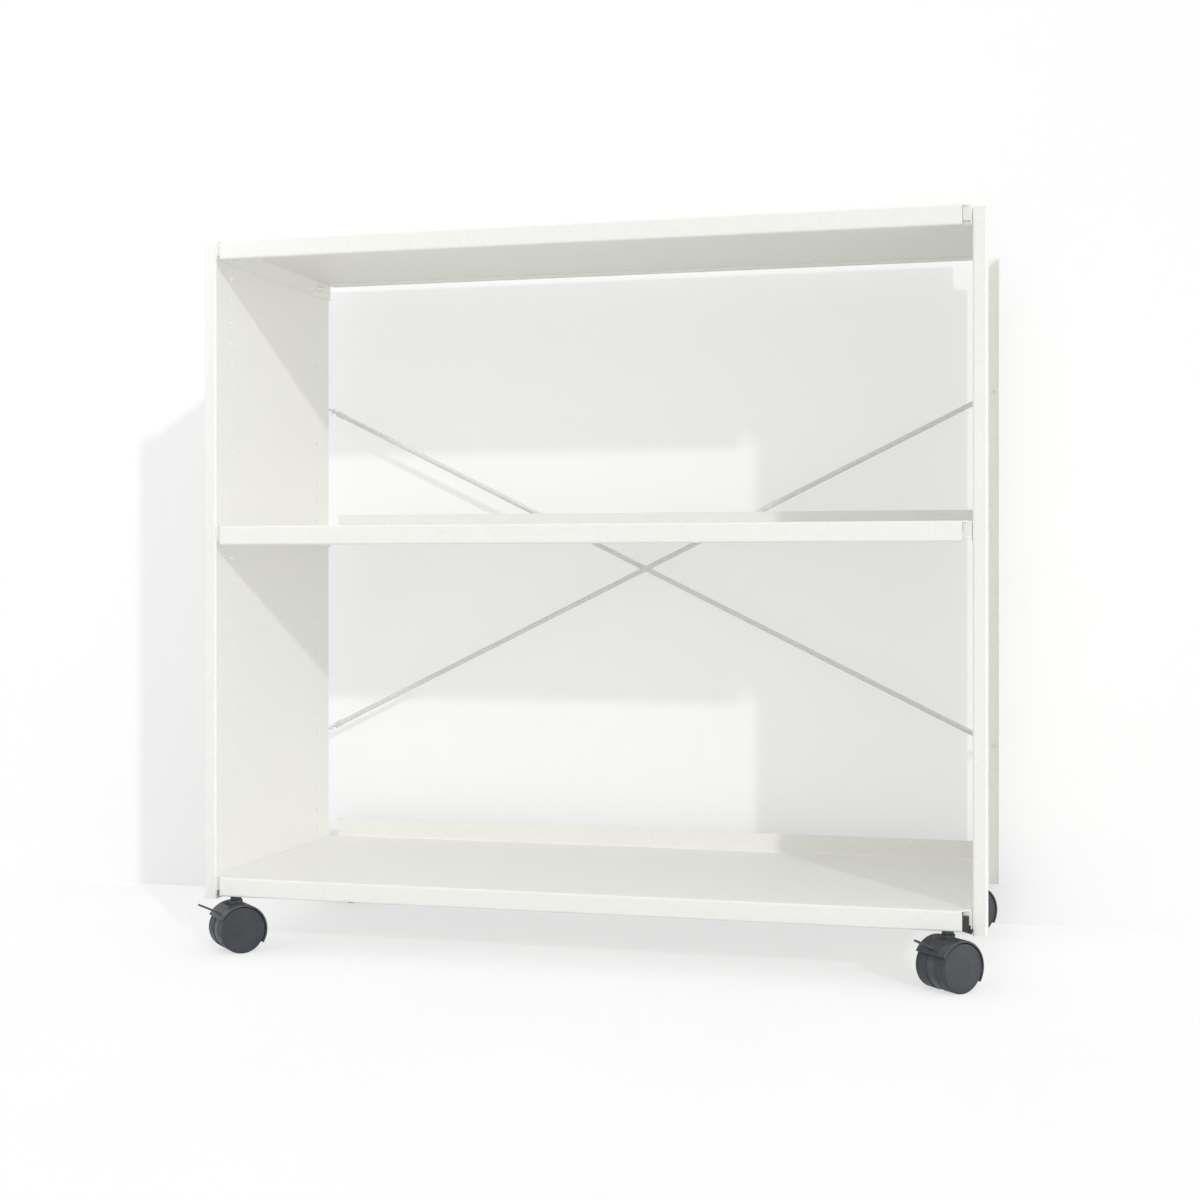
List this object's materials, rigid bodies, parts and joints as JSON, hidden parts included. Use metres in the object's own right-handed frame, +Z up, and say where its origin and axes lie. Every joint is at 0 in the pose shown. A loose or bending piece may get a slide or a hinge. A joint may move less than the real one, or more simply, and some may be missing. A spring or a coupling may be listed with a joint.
{
  "type": "low sideboard on wheels",
  "caption": "Low open sheet-steel sideboard with folded side panels in rows of holes, hung shelves, a wire cross brace behind and swivelling castors, the front ones braked.",
  "frame": {"origin": "on the floor, under the middle of the whole", "axes": "+X along the shelves to the viewer's right, +Y from the open front to the braced back, +Z up"},
  "size_m": [1.056, 0.4768, 0.9985],
  "materials": {
    "white_paint": "satin powder coat",
    "zinc": "bright zinc plate",
    "grey_zinc": "matt light grey",
    "black_plastic": "moulded",
    "grey_plastic": "moulded, fine grain",
    "grey_rubber": "smooth tread"
  },
  "bodies": {
    "frame": {"side_panel_left": "white_paint", "side_panel_right": "white_paint", "shelf_bottom": "white_paint", "shelf_middle": "white_paint", "shelf_top": "white_paint", "shelf_pins_middle": "zinc", "shelf_pins_top": "zinc", "bracket_screws": "zinc", "brace_rod_rising": "grey_zinc", "brace_rod_falling": "grey_zinc", "brace_sleeves": "grey_zinc", "brace_hooks": "grey_zinc", "castor_bracket_front_left": "black_plastic", "castor_stem_front_left": "zinc", "castor_bracket_front_right": "black_plastic", "castor_stem_front_right": "zinc", "castor_bracket_rear_left": "black_plastic", "castor_stem_rear_left": "zinc", "castor_bracket_rear_right": "black_plastic", "castor_stem_rear_right": "zinc"},
    "castor_front_left": {"castor_housing_front_left": "grey_plastic", "castor_axle_front_left": "zinc", "lever_pin_front_left": "zinc"},
    "wheel_front_left_a": {"wheel_core_front_left_a": "grey_plastic", "wheel_tread_front_left_a": "grey_rubber"},
    "wheel_front_left_b": {"wheel_core_front_left_b": "grey_plastic", "wheel_tread_front_left_b": "grey_rubber"},
    "lever_front_left": {"brake_lever_front_left": "grey_plastic"},
    "castor_front_right": {"castor_housing_front_right": "grey_plastic", "castor_axle_front_right": "zinc", "lever_pin_front_right": "zinc"},
    "wheel_front_right_a": {"wheel_core_front_right_a": "grey_plastic", "wheel_tread_front_right_a": "grey_rubber"},
    "wheel_front_right_b": {"wheel_core_front_right_b": "grey_plastic", "wheel_tread_front_right_b": "grey_rubber"},
    "lever_front_right": {"brake_lever_front_right": "grey_plastic"},
    "castor_rear_left": {"castor_housing_rear_left": "grey_plastic", "castor_axle_rear_left": "zinc"},
    "wheel_rear_left_a": {"wheel_core_rear_left_a": "grey_plastic", "wheel_tread_rear_left_a": "grey_rubber"},
    "wheel_rear_left_b": {"wheel_core_rear_left_b": "grey_plastic", "wheel_tread_rear_left_b": "grey_rubber"},
    "castor_rear_right": {"castor_housing_rear_right": "grey_plastic", "castor_axle_rear_right": "zinc"},
    "wheel_rear_right_a": {"wheel_core_rear_right_a": "grey_plastic", "wheel_tread_rear_right_a": "grey_rubber"},
    "wheel_rear_right_b": {"wheel_core_rear_right_b": "grey_plastic", "wheel_tread_rear_right_b": "grey_rubber"}
  },
  "joints": [
    {"name": "swivel_front_left", "type": "hinge", "parent": "frame", "child": "castor_front_left", "pos_m": [-0.48, -0.19941, 0.06], "axis": [0, 0, 1], "continuous": true},
    {"name": "wheel_spin_front_left_a", "type": "hinge", "parent": "castor_front_left", "child": "wheel_front_left_a", "pos_m": [-0.47929, -0.1987, 0.031], "axis": [-0.7071, 0.7071, 0], "continuous": true},
    {"name": "wheel_spin_front_left_b", "type": "hinge", "parent": "castor_front_left", "child": "wheel_front_left_b", "pos_m": [-0.47929, -0.1987, 0.031], "axis": [-0.7071, 0.7071, 0], "continuous": true},
    {"name": "brake_front_left", "type": "hinge", "parent": "castor_front_left", "child": "lever_front_left", "pos_m": [-0.48999, -0.2094, 0.06201], "axis": [0.7071, -0.7071, 0], "range_deg": [0, 6]},
    {"name": "swivel_front_right", "type": "hinge", "parent": "frame", "child": "castor_front_right", "pos_m": [0.48, -0.19941, 0.06], "axis": [0, 0, 1], "continuous": true},
    {"name": "wheel_spin_front_right_a", "type": "hinge", "parent": "castor_front_right", "child": "wheel_front_right_a", "pos_m": [0.48071, -0.1987, 0.031], "axis": [-0.7071, 0.7071, 0], "continuous": true},
    {"name": "wheel_spin_front_right_b", "type": "hinge", "parent": "castor_front_right", "child": "wheel_front_right_b", "pos_m": [0.48071, -0.1987, 0.031], "axis": [-0.7071, 0.7071, 0], "continuous": true},
    {"name": "brake_front_right", "type": "hinge", "parent": "castor_front_right", "child": "lever_front_right", "pos_m": [0.47001, -0.2094, 0.06201], "axis": [0.7071, -0.7071, 0], "range_deg": [0, 6]},
    {"name": "swivel_rear_left", "type": "hinge", "parent": "frame", "child": "castor_rear_left", "pos_m": [-0.48, 0.19459, 0.06], "axis": [0, 0, 1], "continuous": true},
    {"name": "wheel_spin_rear_left_a", "type": "hinge", "parent": "castor_rear_left", "child": "wheel_rear_left_a", "pos_m": [-0.47929, 0.19529, 0.031], "axis": [-0.7071, 0.7071, 0], "continuous": true},
    {"name": "wheel_spin_rear_left_b", "type": "hinge", "parent": "castor_rear_left", "child": "wheel_rear_left_b", "pos_m": [-0.47929, 0.19529, 0.031], "axis": [-0.7071, 0.7071, 0], "continuous": true},
    {"name": "swivel_rear_right", "type": "hinge", "parent": "frame", "child": "castor_rear_right", "pos_m": [0.48, 0.19459, 0.06], "axis": [0, 0, 1], "continuous": true},
    {"name": "wheel_spin_rear_right_a", "type": "hinge", "parent": "castor_rear_right", "child": "wheel_rear_right_a", "pos_m": [0.48071, 0.19529, 0.031], "axis": [-0.7071, 0.7071, 0], "continuous": true},
    {"name": "wheel_spin_rear_right_b", "type": "hinge", "parent": "castor_rear_right", "child": "wheel_rear_right_b", "pos_m": [0.48071, 0.19529, 0.031], "axis": [-0.7071, 0.7071, 0], "continuous": true}
  ]
}
